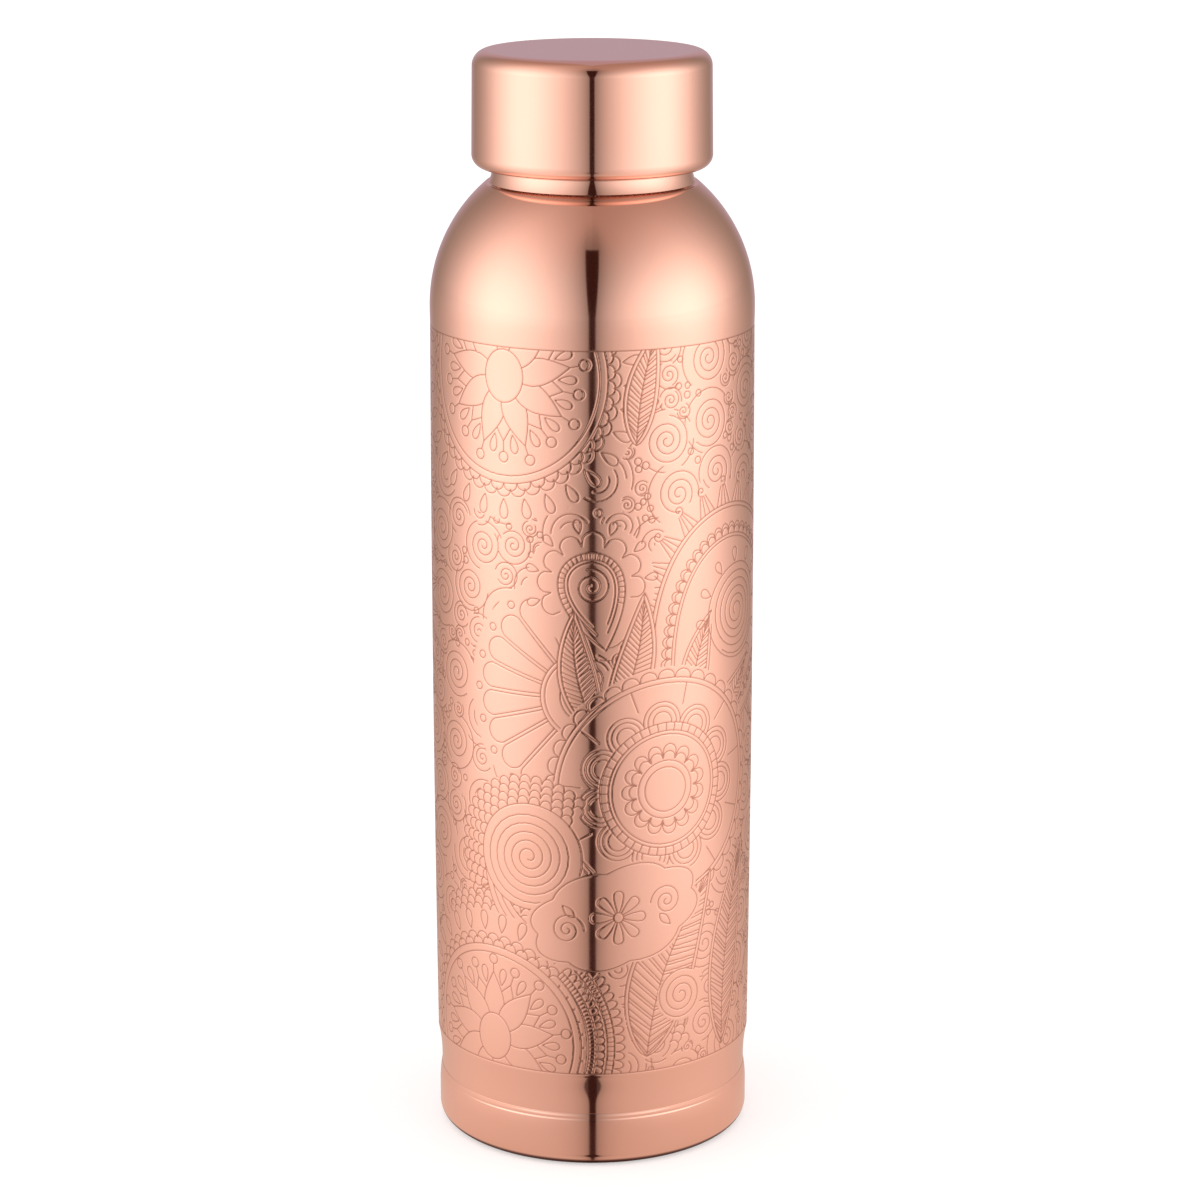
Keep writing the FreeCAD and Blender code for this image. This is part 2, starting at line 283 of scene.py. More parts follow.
class Engraving:
    """Line work on an unrolled band, kept as every grid point's distance to the nearest line.

    Lines are arrays of complex numbers: the real part runs round the band from its front, to the
    viewer's right, and the imaginary part runs up from the band's lower edge, both in millimetres.
    """

    def __init__(self, columns, rows, girth, height):
        self.columns = columns
        self.rows = rows
        self.girth = girth
        self.height = height
        self.pitch_u = girth / columns
        self.pitch_v = height / (rows - 1)
        self.distance = np.full(rows * columns, REACH)

    def draw(self, *lines):
        """Adds lines."""
        for line in lines:
            self._stamp(evenly(line))

    def _stamp(self, points):
        """Lowers the distance of the grid points round each point of a line."""
        near_column = np.round(points.real / self.pitch_u).astype(int)
        near_row = np.round(points.imag / self.pitch_v).astype(int)
        span = int(REACH / self.pitch_u) + 1
        for across in range(-span, span + 1):
            for up in range(-span, span + 1):
                column = near_column + across
                row = near_row + up
                inside = (row >= 0) & (row < self.rows)
                aside = column * self.pitch_u - points.real
                gap = np.hypot(aside, row * self.pitch_v - points.imag)
                place = row[inside] * self.columns + column[inside] % self.columns
                np.minimum.at(self.distance, place, gap[inside])

    def clear(self, outline):
        """Removes what was drawn inside a closed outline."""
        first_column = int(outline.real.min() / self.pitch_u) - 1
        last_column = int(outline.real.max() / self.pitch_u) + 2
        first_row = max(int(outline.imag.min() / self.pitch_v) - 1, 0)
        last_row = min(int(outline.imag.max() / self.pitch_v) + 2, self.rows)
        if first_row >= last_row:
            return
        columns = np.arange(first_column, last_column)
        column, row = np.meshgrid(columns, np.arange(first_row, last_row))
        x = column * self.pitch_u
        y = row * self.pitch_v
        odd = np.zeros(x.shape, bool)
        for a, b in zip(outline, np.roll(outline, -1)):
            if a.imag != b.imag:
                crosses = (a.imag > y) != (b.imag > y)
                edge = (b.real - a.real) * (y - a.imag) / (b.imag - a.imag) + a.real
                odd ^= crosses & (x < edge)
        self.distance[(row * self.columns + column % self.columns)[odd]] = REACH

    def grooves(self):
        """How much of the full depth each grid point is cut to, as rows by columns."""
        share = np.clip(1 - self.distance / GROOVE_HALF_WIDTH, 0, 1)
        return share.reshape(self.rows, self.columns)


def evenly(line):
    """The same line with its points close and evenly spaced."""
    steps = np.abs(np.diff(line))
    along = np.concatenate([[0], np.cumsum(steps)])
    count = max(int(along[-1] / STAMP_STEP), 1) + 1
    at = np.linspace(0, along[-1], count)
    return np.interp(at, along, line.real) + 1j * np.interp(at, along, line.imag)


def turn(degrees):
    """The complex number that turns a line by an angle."""
    return np.exp(1j * math.radians(degrees))


def circle(centre, radius, points=48):
    """A circle, closed on its first point."""
    return centre + radius * np.exp(1j * np.linspace(0, TURN, points + 1))


def sweep(centre, radius, first, last, points=40):
    """Part of a circle between two angles in degrees."""
    return centre + radius * np.exp(1j * np.radians(np.linspace(first, last, points)))


def spiral(centre, radius, turns, start, hand, growth=1.0, inner=0.1):
    """A coil that opens from near its centre to its radius, evenly or ever wider.

    start is where its outer end lies, in degrees, and hand is 1 or -1 for the way it winds.
    """
    t = np.linspace(0, 1, int(24 * turns) + 8)
    reach = radius * (inner + (1 - inner) * t ** growth)
    return centre + reach * np.exp(1j * (math.radians(start) + hand * TURN * turns * (t - 1)))


def lens(base, tip, width):
    """A closed pointed petal from base to tip, width at its fattest place."""
    t = np.linspace(0, 1, 14)
    side = np.sin(math.pi * t ** 0.85) * width / 2
    axis = (tip - base) / abs(tip - base)
    right = base + (tip - base) * t + 1j * axis * side
    left = base + (tip - base) * t - 1j * axis * side
    return np.concatenate([right, left[::-1]])


def round_petal(base, tip, width):
    """A closed petal with a narrow foot and a round end."""
    t = np.linspace(0, 1, 48)
    full = 0.8
    swell = 0.25 + 0.75 * np.sin(math.pi / 2 * np.clip(t / full, 0, 1))
    end = np.sqrt(np.clip(1 - (np.clip(t - full, 0, 1) / (1 - full)) ** 2, 0, 1))
    axis = (tip - base) / abs(tip - base)
    side = 1j * axis * swell * end * width / 2
    middle = base + (tip - base) * t
    return np.concatenate([middle + side, (middle - side)[::-1]])


def wedge_petal(centre, heading, foot, tip, half_angle, inset):
    """An open petal that widens with its distance from a centre and has a round end."""
    widen = math.tan(math.radians(half_angle))
    shoulder = (tip + inset) / (1 + widen)
    half = shoulder * widen - inset
    cap = shoulder + half * np.exp(1j * np.radians(np.linspace(90, -90, 24)))
    foot_half = max(foot * widen - inset, 0.1)
    line = np.concatenate([[foot + 1j * foot_half], cap, [foot - 1j * foot_half]])
    return centre + line * turn(heading)


def drop(point, heading, length, width, points=26):
    """A closed teardrop with its sharp end at a point and its round end along the heading."""
    t = np.linspace(0, TURN, points)
    along = (1 - np.cos(t)) / 2
    side = np.sin(t) * np.sin(t / 2) * width * 0.65
    return point + (along * length + 1j * side) * turn(heading)


def scallops(centre, radius, count, height, first=0.0, last=360.0):
    """A row of half-round bumps standing outwards from part of a circle."""
    edges = np.linspace(first, last, count + 1)
    t = np.linspace(0, 1, 12)
    lines = []
    for left, right in zip(edges[:-1], edges[1:]):
        angle = np.radians(left + (right - left) * t)
        reach = radius + height * np.sqrt(np.clip(1 - (2 * t - 1) ** 2, 0, 1))
        lines.append(centre + reach * np.exp(1j * angle))
    return lines


def rays(centre, inner, outer, count, first=0.0, last=360.0):
    """Short radial strokes between two radii."""
    return [centre + np.array([inner, outer]) * turn(h) for h in headings(count, first, last)]


def headings(count, first=0.0, last=360.0):
    """Evenly spaced directions in degrees; a whole turn doesn't repeat its first one."""
    return np.linspace(first, last, count, endpoint=last - first < 360)


def spread(line, count):
    """Evenly spaced places on a line, each with its direction as a complex number of length one."""
    steps = np.abs(np.diff(line))
    along = np.concatenate([[0], np.cumsum(steps)])
    at = np.linspace(0, along[-1], count)
    places = np.interp(at, along, line.real) + 1j * np.interp(at, along, line.imag)
    direction = np.gradient(places)
    return places, direction / np.abs(direction)


def beside(line, gap):
    """A line moved sideways, to its left, by a gap."""
    places, direction = spread(line, len(line))
    return places + 1j * direction * gap


def length_of(line):
    """The length of a line."""
    return np.abs(np.diff(line)).sum()


def lobes(line, size, gap):
    """Half-round bumps all along a line, a gap away on its left."""
    steps = 12
    count = max(int(length_of(line) / size), 1)
    places, direction = spread(line, count * steps + 1)
    phase = np.arange(len(places)) % steps / steps
    return places + 1j * direction * (gap + size * 0.6 * np.sin(math.pi * phase) ** 0.5)


# ---------------------------------------------------------------- motifs

def curl(sheet, centre, radius, start, hand, turns, growth):
    """A spiral in its own cleared disc."""
    sheet.clear(circle(centre, radius, 20))
    sheet.draw(spiral(centre, radius, turns, start, hand, growth))


def frill(sheet, centre, radius, count):
    """Two rows of overlapping bumps outside a ring, with drops standing out from them."""
    step = 360 / count
    half = step / 2
    sheet.clear(np.concatenate([sweep(centre, radius + 8.4, 0, 360, 60),
                                sweep(centre, radius, 360, 0, 60)]))
    for heading in headings(count * 3 // 4, step, 360 + step):
        sheet.draw(drop(centre + (radius + 3.6) * turn(heading), heading, 4.6, 2.2))
    sheet.draw(*scallops(centre, radius + 1.3, count, 1.7, half, 360 + half))
    sheet.draw(*scallops(centre, radius, count, 1.7))


def lotus(sheet, centre, disc, reach):
    """Flower with an oval disc, two rows of pointed petals, stalked rings and drops between."""
    petals = 9
    facing = 90
    step = 360 / petals
    for number in range(petals):
        heading = facing + number * step
        for shift, end in ((0, 1.2), (step / 2, 1.12)):
            out = turn(heading + shift)
            sheet.draw(centre + np.array([disc, reach * end - 1.2]) * out)
            sheet.draw(circle(centre + (reach * end) * out, 1.2, 14))
        for shift in (step * 0.25, step * 0.75):
            between = heading + shift
            sheet.draw(drop(centre + reach * 0.82 * turn(between), between, 4.2, 1.9))
    for turned, share in ((0.5, 0.9), (0.0, 1.0)):
        for number in range(petals):
            out = turn(facing + (number + turned) * step)
            petal = lens(centre + disc * 0.3 * out, centre + reach * share * out, reach * 0.38)
            sheet.clear(petal)
            sheet.draw(petal)
    round_disc = circle(0, disc)
    oval = centre + turn(facing) * (round_disc.real * 1.1 + 1j * round_disc.imag * 0.92)
    sheet.clear(oval)
    sheet.draw(oval)


def lotus_medal(sheet, centre, radius, disc, reach):
    """A lotus in a double ring with a frilled edge."""
    frill(sheet, centre, radius, 44)
    sheet.clear(circle(centre, radius))
    sheet.draw(circle(centre, radius, 72), circle(centre, radius - 1.8, 72))
    lotus(sheet, centre, disc, reach)


def mandala(sheet, centre, scale):
    """Large flower: disc, scalloped petals, a ladder ring, triple lobes and a double outer ring."""
    def ring(radius):
        return circle(centre, radius * scale, 72)

    sheet.clear(circle(centre, 27.5 * scale))
    sheet.draw(*scallops(centre, 25 * scale, 38, 1.9 * scale))
    sheet.draw(ring(25), ring(23.9))
    sheet.draw(*rays(centre, 19 * scale, 23.9 * scale, 11, 12, 372))
    for heading in headings(11, 28, 388):
        place = centre + 15.4 * scale * turn(heading)
        sheet.clear(circle(place, 4.4 * scale, 24))
        sheet.draw(*(circle(place, radius * scale, 30) for radius in (4.4, 3.4, 2.2)))
    sheet.clear(circle(centre, 15 * scale))
    ladder(sheet, centre, 13.2 * scale, 15 * scale, 44)
    sheet.draw(ring(12.4))
    for radius, height in ((7.6, 2.6), (6.9, 1.7)):
        sheet.draw(*scallops(centre, radius * scale, 15, height * scale))
    sheet.clear(circle(centre, 6.9 * scale))
    sheet.draw(ring(6.5), ring(5.0))


def ladder(sheet, centre, inner, outer, count, first=0.0, last=360.0):
    """Two arcs close together with short rungs between them."""
    sheet.draw(sweep(centre, inner, first, last, 72), sweep(centre, outer, first, last, 72))
    sheet.draw(*rays(centre, inner, outer, count, first, last))


def crowned_drop(sheet, point, heading, length, width):
    """Drop with a rung edge, a coil inside, and a crown of round petals and drops over its head."""
    head = point + (length - width / 2) * turn(heading)
    sheet.clear(circle(head, width * 0.98))
    for away in headings(7, heading - 96, heading + 96):
        sheet.draw(drop(head + width * 0.82 * turn(away), away, 3.2, 1.8))
    sheet.draw(*scallops(head, width * 0.62, 8, width * 0.2, heading - 120, heading + 120))
    outer = drop(point, heading, length, width, 60)
    sheet.clear(outer)
    inside = beside(outer, -1.5)[4:-4]
    sheet.draw(outer, inside, beside(outer, -2.3)[6:-6])
    places, direction = spread(outer, 46)
    for place, along in list(zip(places, direction))[9:-9]:
        sheet.draw(place + along * 1j * np.array([0, -1.5]))
    curl(sheet, head - 0.4 * turn(heading), width * 0.28, heading, 1, 2.0, 1.0)


def fan(sheet, centre, radius, first, last, petals):
    """Half flower: long round-ended petals on a core of arcs, with beads outside."""
    step = (last - first) / petals
    sheet.clear(np.concatenate([[centre], sweep(centre, radius * 1.13, first, last)]))
    core = radius * 0.4
    for number in range(petals):
        heading = first + (number + 0.5) * step
        sheet.draw(wedge_petal(centre, heading, core, radius, step / 2, 0.4))
    for heading in headings(petals + 1, first, last):
        sheet.draw(circle(centre + radius * 1.04 * turn(heading), 0.9, 12))
    sheet.clear(np.concatenate([[centre], sweep(centre, core, first, last)]))
    sheet.draw(sweep(centre, core, first, last), sweep(centre, core - 1.0, first, last))
    sheet.draw(sweep(centre, core * 0.55, first, last))


def feather(sheet, base, tip, width, bend, pitch=1.15, slant=1.9):
    """Leaf with a double edge, a middle rib and close slanting barbs. bend bows it to its left."""
    steps = 59
    t = np.linspace(0, 1, steps + 1)
    axis = (tip - base) / abs(tip - base)
    rib = base + (tip - base) * t + 1j * axis * bend * np.sin(math.pi * t)
    normal = 1j * np.gradient(rib) / np.abs(np.gradient(rib))
    half = np.sin(math.pi * t ** 0.8) ** 0.8 * width / 2
    sheet.clear(np.concatenate([rib + normal * half, (rib - normal * half)[::-1]]))
    inner = np.clip(half - 0.9, 0, None)
    sheet.draw(rib)
    for side in (1, -1):
        sheet.draw(rib + side * normal * half, rib + side * normal * inner)
    count = int(abs(tip - base) / pitch)
    for at in np.linspace(0.03, 0.93, count):
        foot = at * steps
        end = min(foot + slant * pitch * steps / abs(tip - base), steps)
        low = int(foot)
        high = int(end)
        for side in (1, -1):
            sheet.draw(np.array([rib[low], rib[high] + side * normal[high] * inner[high]]))


def fringe(sheet, line, pitch, length):
    """Bundles of spreading strokes on the left of a line, each ending in a small curl."""
    places, direction = spread(line, max(int(length_of(line) / pitch), 2))
    for number, (place, along) in enumerate(zip(places, direction)):
        out = 1j * along
        for lean in (-0.42, -0.14, 0.14, 0.42):
            foot = place + along * lean * pitch
            tip = place + out * length + along * lean * pitch * 0.35
            sheet.draw(np.array([foot, tip]))
        eye = place + out * (length + 1.3)
        hand = 1 if number % 2 else -1
        sheet.draw(spiral(eye, 1.3, 1.2, np.degrees(np.angle(-out)), hand))


def paisley(sheet, point, heading, length, width):
    """Large drop with a fringe, a plain band, inner lobes, feathers and a many-turned coil."""
    outer = drop(point, heading, length, width, 120)
    sheet.clear(beside(outer, 5.5)[6:-6])
    fringe(sheet, outer[14:-14], 5.6, 4.6)
    sheet.clear(outer)
    sheet.draw(outer, beside(outer, -0.95)[3:-3])
    inner = drop(point + 7 * turn(heading), heading, length - 13, width - 12, 120)
    sheet.draw(lobes(inner[6:-6], 2.6, 0.2), lobes(inner[6:-6], 2.6, -0.7))
    sheet.draw(beside(inner, -0.9)[4:-4], beside(inner, -1.7)[5:-5])
    along = turn(heading)
    root = point + 14 * along
    feather(sheet, root - 2j * along, root + (length * 0.36 + 1j * width * 0.16) * along, 8.5, 2)
    feather(sheet, root - 5j * along, root + (length * 0.34 - 1j * width * 0.26) * along, 8.0, -2)
    coil = point + (length * 0.64 - 1j * width * 0.02) * along
    coil_radius = width * 0.2
    curl(sheet, coil, coil_radius, heading + 180, -1, 5.0, 1.0)
    sheet.draw(circle(coil, coil_radius + 0.8, 40))
    for away in headings(9, heading - 110, heading + 130):
        sheet.draw(drop(coil + (coil_radius + 1.2) * turn(away), away, 3.4, 2.0))


def strands(sheet, start, end, sag, count, gap):
    """A bundle of lines side by side that bow together."""
    t = np.linspace(0, 1, 40)
    axis = (end - start) / abs(end - start)
    path = start + (end - start) * t + 1j * axis * sag * np.sin(math.pi * t)
    sheet.clear(np.concatenate([path, beside(path, gap * (count - 1))[::-1]]))
    for number in range(count):
        sheet.draw(beside(path, gap * number))


def scales(sheet, centre, radius, first, last, rows):
    """Rows of overlapping arches outside part of a ring, each row half a scale on from the last."""
    depth = 1.7
    pitch = 2.7
    sheet.clear(np.concatenate([sweep(centre, radius + depth * rows, first, last),
                                sweep(centre, radius, last, first)]))
    for row in range(rows):
        reach = radius + depth * row
        count = max(int(math.radians(last - first) * reach / pitch), 1)
        shift = (last - first) / count / 2 * (row % 2)
        sheet.draw(*scallops(centre, reach, count, depth, first + shift, last + shift))


def big_coil(sheet, centre, radius):
    """Many-turned coil with scales over its shoulder and strands trailing from it."""
    scales(sheet, centre, radius + 1.4, 40, 215, 4)
    trail_from = centre + complex(-radius - 1.2, -1)
    trail_to = centre + complex(2, -radius - 12)
    strands(sheet, trail_from, trail_to, -4, 4, 1.5)
    sheet.clear(circle(centre, radius + 1.4))
    sheet.draw(circle(centre, radius + 1.3, 60))
    sheet.draw(spiral(centre, radius, 5.2, 320, 1, 1.0, 0.06))


def panel(sheet, centre, width, height):
    """Plain cloud-edged panel with a small generic flower between two tendrils."""
    tilt = turn(14)
    t = np.linspace(0, TURN, 240)
    oval = width / 2 * np.cos(t) + 1j * height / 2 * np.sin(t)
    puffs = 0.92 + 0.1 * np.abs(np.sin(4 * t))
    outline = centre + oval * puffs * tilt
    sheet.clear(centre + (outline - centre) * 1.05)
    sheet.draw(outline)
    for heading in headings(8):
        out = turn(heading)
        sheet.draw(round_petal(centre + 1.3 * out, centre + height * 0.27 * out, 2.3))
    sheet.draw(circle(centre, 1.2, 16))
    for side in (-1, 1):
        eye = centre + side * width * 0.29 * tilt
        sheet.draw(spiral(eye, height * 0.17, 2.2, 90 * (1 + side), side, 1.2))
        sheet.draw(lens(eye - side * 3.5 * turn(60), eye - side * 6.0 * turn(100), 1.8))


def fill_ground(sheet, dice):
    """Covers the band with curls of mixed size, loops between them and small rings in the gaps."""
    placed = []
    ring_size = 1.2
    for radius, tries in GROUND_SIZES:
        for _ in range(tries):
            spot = complex(dice.uniform(0, sheet.girth), dice.uniform(-2, sheet.height + 2))
            size = radius * dice.uniform(0.88, 1.08)
            if all(gap_between(sheet, spot, other) > (size + far) * 1.03 for other, far in placed):
                placed.append((spot, size))
    linked = [(spot, size) for spot, size in placed if size > ring_size]
    for spot, size in linked:
        start = dice.uniform(0, 360)
        sheet.draw(sweep(spot, size * 1.24, start, start + 240))
    for spot, size in placed:
        heading = dice.uniform(0, 360)
        hand = 1 if dice.random() < 0.5 else -1
        if size > ring_size:
            curl(sheet, spot, size, heading, hand, 1.1 + size * 0.32, 1.15)
        else:
            sheet.draw(circle(spot, size, 14))


def gap_between(sheet, spot, other):
    """The distance between two places, the short way round."""
    across = abs(spot.real - other.real) % sheet.girth
    return math.hypot(min(across, sheet.girth - across), spot.imag - other.imag)


def figures(sheet, origin):
    """One half of the band's large figures, placed from the middle of that half's lower edge."""
    def at(across, up):
        return origin + complex(across, up)

    fan(sheet, at(-1.5, 92), 26, 98, 262, 10)
    paisley(sheet, at(15, 74), 54, 66, 52)
    crowned_drop(sheet, at(3, 103), 102, 23, 15)
    feather(sheet, at(1, 84), at(-4, 112), 9, 2)
    feather(sheet, at(4, 84), at(12, 116), 9.5, -2)
    mandala(sheet, at(17.5, 69), 1.06)
    scales(sheet, at(-24, 8), 26.5, 35, 120, 5)
    big_coil(sheet, at(-15, 53), 11.5)
    lotus_medal(sheet, at(-21, 165), 24.5, 5.5, 16.5)
    scales(sheet, at(9, 0), 12, 20, 165, 3)
    feather(sheet, at(13, 4), at(31, 47), 17, 4, 1.3, 3.0)
    curl(sheet, at(22, 18), 6.5, 60, -1, 3.2, 1.0)
    feather(sheet, at(36, 2), at(45, 52), 12, 3, 1.2, 2.6)
    feather(sheet, at(10, 150), at(15, 176), 8, 1)
    lotus_medal(sheet, at(-25, 7), 22.5, 5.2, 16)
    laddered_rim(sheet, at(-25, 7))
    panel(sheet, at(6, 39), 42, 24)


def laddered_rim(sheet, centre):
    """Two ladders with bumps over each, in place of the frill on one side of the lower lotus."""
    sheet.clear(np.concatenate([sweep(centre, 23.2, -30, 46), sweep(centre, 33.5, 46, -30)]))
    for radius, bump in ((24.2, 1.7), (28.4, 2.2)):
        ladder(sheet, centre, radius, radius + 1.7, 30, -20, 46)
        sheet.draw(*scallops(centre, radius + 2.0, 16, bump, -18, 46))


def engrave(columns, rows, girth, height):
    """The whole band's line work. The same figures stand on the front half and on the back half."""
    sheet = Engraving(columns, rows, girth, height)
    fill_ground(sheet, np.random.default_rng(SEED))
    for origin in (0, girth / 2):
        figures(sheet, origin)
    round_band = np.array([0, girth])
    for border, edge in ((BORDER_INSET, -1), (height - BORDER_INSET, height + 1)):
        sheet.clear(np.concatenate([round_band + 1j * border, round_band[::-1] + 1j * edge]))
        sheet.draw(round_band + 1j * border)
    return sheet.grooves()


# ---------------------------------------------------------------- skins

def body_skin():
    """Shell with the engraved band, a domed shoulder and a spigot that stands in the base cup."""
    low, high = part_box("body_shell")
    bottom = low.z / MM
    top = high.z / MM
    land = math.sqrt(DOME_RADIUS ** 2 - (top - DOME_CENTRE) ** 2)
    dome_end = math.degrees(math.asin((top - DOME_CENTRE) / DOME_RADIUS))
    inner_dome = DOME_RADIUS - WALL
    inner_end = math.degrees(math.asin((top - WALL - DOME_CENTRE) / inner_dome))
    inner_land = inner_dome * math.cos(math.radians(inner_end))
    cove = (SPIGOT_RADIUS + (BAND_LOW[0] - SPIGOT_RADIUS) / 4, (SPIGOT_TOP + BAND_LOW[1]) / 2)
    brow = (DOME_RADIUS - (DOME_RADIUS - BAND_HIGH[0]) / 4, (BAND_HIGH[1] + DOME_CENTRE) / 2)
    band = arc_through(BAND_LOW, BAND_MIDDLE, BAND_HIGH, BAND_ROWS)
    inside = [(r - WALL, z) for r, z in arc_through(BAND_HIGH, BAND_MIDDLE, BAND_LOW, 12)]
    runs = [
        straight((SPIGOT_RADIUS, bottom), (SPIGOT_RADIUS, SPIGOT_TOP), 3),
        arc_through((SPIGOT_RADIUS, SPIGOT_TOP), cove, BAND_LOW, 14),
        band,
        arc_through(BAND_HIGH, brow, (DOME_RADIUS, DOME_CENTRE), 8),
        round_arc((0, DOME_CENTRE), DOME_RADIUS, 0, dome_end, 64),
        straight((land, top), (NECK_HOLE, top)),
        straight((NECK_HOLE, top), (NECK_HOLE, top - WALL)),
        straight((NECK_HOLE, top - WALL), (inner_land, top - WALL)),
        round_arc((0, DOME_CENTRE), inner_dome, inner_end, 0, 20),
        inside,
        straight((SPIGOT_RADIUS - WALL, SPIGOT_TOP), (SPIGOT_RADIUS - WALL, bottom), 2),
        straight((SPIGOT_RADIUS - WALL, bottom), (SPIGOT_RADIUS, bottom)),
    ]
    outline = join(*runs)
    first = len(join(*runs[:2])) - 1
    rows = np.arange(first, first + BAND_ROWS + 1)
    girth = TURN * BAND_MIDDLE[0]
    grooves = engrave(FINE_COLUMNS, BAND_ROWS + 1, girth, BAND_HIGH[1] - BAND_LOW[1])
    cut = np.zeros((len(outline), FINE_COLUMNS))
    cut[rows] = grooves
    weight = np.full(len(outline), (1 - BAND_SHARE) / (len(outline) - len(rows)))
    weight[rows] = BAND_SHARE / len(rows)
    share = np.concatenate([[0], np.cumsum(weight)[:-1]])
    skin = turned_skin("body_skin", outline, FINE_COLUMNS, share, cut * GROOVE_DEPTH)
    mask = skin.data.attributes.new("groove", "FLOAT", "POINT")
    mask.data.foreach_set("value", cut.astype(np.float32).ravel())
    return skin


def base_skin():
    """Base cup: raised floor, standing ring, round corner, plain wall and a creased lip."""
    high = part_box("base_cup")[1]
    radius = high.x / MM - 0.1
    wall = radius - WALL / 2
    top = high.z / MM
    corner = 3.2
    ring = 32.4
    raised_radius = 30.0
    raised = 2.6
    shift = 0.2
    lean_from = top - 5.0
    lip = 0.15
    lip_radius = radius - 0.48
    lean_middle = (radius - 0.12, top - 2.7)
    crease_depth = 0.05
    crease_width = 0.16
    crease_at = top - 1.3
    lean = arc_through((radius, lean_from), lean_middle, (lip_radius, top - lip), 24)
    creased = [(r - crease_depth * math.exp(-((z - crease_at) / crease_width) ** 2), z)
               for r, z in lean]
    outline = join(
        straight((0, raised), (raised_radius, raised), 6),
        straight((raised_radius, raised), (ring, 0)),
        straight((ring, 0), (radius - corner, 0), 3),
        round_arc((radius - corner, corner), corner, -90, 0, 16),
        straight((radius, corner), (radius, lean_from), 6),
        creased,
        round_arc((lip_radius - lip, top - lip), lip, 0, 90, 10),
        straight((lip_radius - lip, top), (lip_radius - lip - 0.05, top)),
        straight((wall, lean_from), (wall, corner), 3),
        round_arc((radius - corner, corner), corner - WALL / 2, 0, -90, 10),
        straight((radius - corner, WALL / 2), (ring + shift, WALL / 2)),
        straight((ring + shift, WALL / 2), (raised_radius + shift, raised + WALL)),
        straight((raised_radius + shift, raised + WALL), (0, raised + WALL), 6),
    )
    return turned_skin("base_skin", outline, COLUMNS)


def collar_skin():
    """Plain ring between the shoulder and the lid, flared out to a sharp rim on the shoulder."""
    low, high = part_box("neck_collar")
    seat = low.z / MM
    top = high.z / MM
    radius = high.x / MM - COLLAR_FLARE
    foot = radius + COLLAR_FOOT
    foot_top = seat + COLLAR_FOOT_HEIGHT
    bow = (radius + COLLAR_FOOT * 0.3, (seat + foot_top) / 2)
    rim = 0.02
    rim_guard = straight((foot, seat + rim), (foot, seat))[1:]
    outline = join(
        rim_guard,
        arc_through((foot, seat), bow, (radius, foot_top), 16),
        straight((radius, foot_top), (radius, top), 4),
        straight((radius, top), (NECK_HOLE, top)),
        straight((NECK_HOLE, top), (NECK_HOLE, seat)),
        straight((NECK_HOLE, seat), (foot, seat), 2),
    )
    return turned_skin("collar_skin", outline, COLUMNS)


def lid_skin():
    """Cap: flat top, rounded edge, faintly tapered wall and a lower edge curled inwards."""
    low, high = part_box("lid_shell")
    radius = high.x / MM
    bottom = low.z / MM
    top = high.z / MM
    curl_radius = 3.0
    edge = 3.6
    taper = 0.25
    upper = radius - taper
    seat_gap = 0.05
    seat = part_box("lid_sleeve")[1].x / MM + seat_gap
    outline = join(
        straight((0, top - WALL), (upper - edge, top - WALL), 6),
        round_arc((upper - edge, top - edge), edge - WALL, 90, 0, 12),
        straight((upper - WALL, top - edge), (radius - WALL, bottom + curl_radius), 4),
        round_arc((radius - curl_radius, bottom + curl_radius), curl_radius - WALL, 0, -90, 12),
        straight((radius - curl_radius, bottom + WALL), (seat, bottom + WALL)),
        straight((seat, bottom + WALL), (seat, bottom)),
        straight((seat, bottom), (radius - curl_radius, bottom)),
        round_arc((radius - curl_radius, bottom + curl_radius), curl_radius, -90, 0, 20),
        straight((radius, bottom + curl_radius), (upper, top - edge), 12),
        round_arc((upper - edge, top - edge), edge, 0, 90, 20),
        straight((upper - edge, top), (0, top), 10),
    )
    return turned_skin("lid_skin", outline, COLUMNS)


# ---------------------------------------------------------------- materials

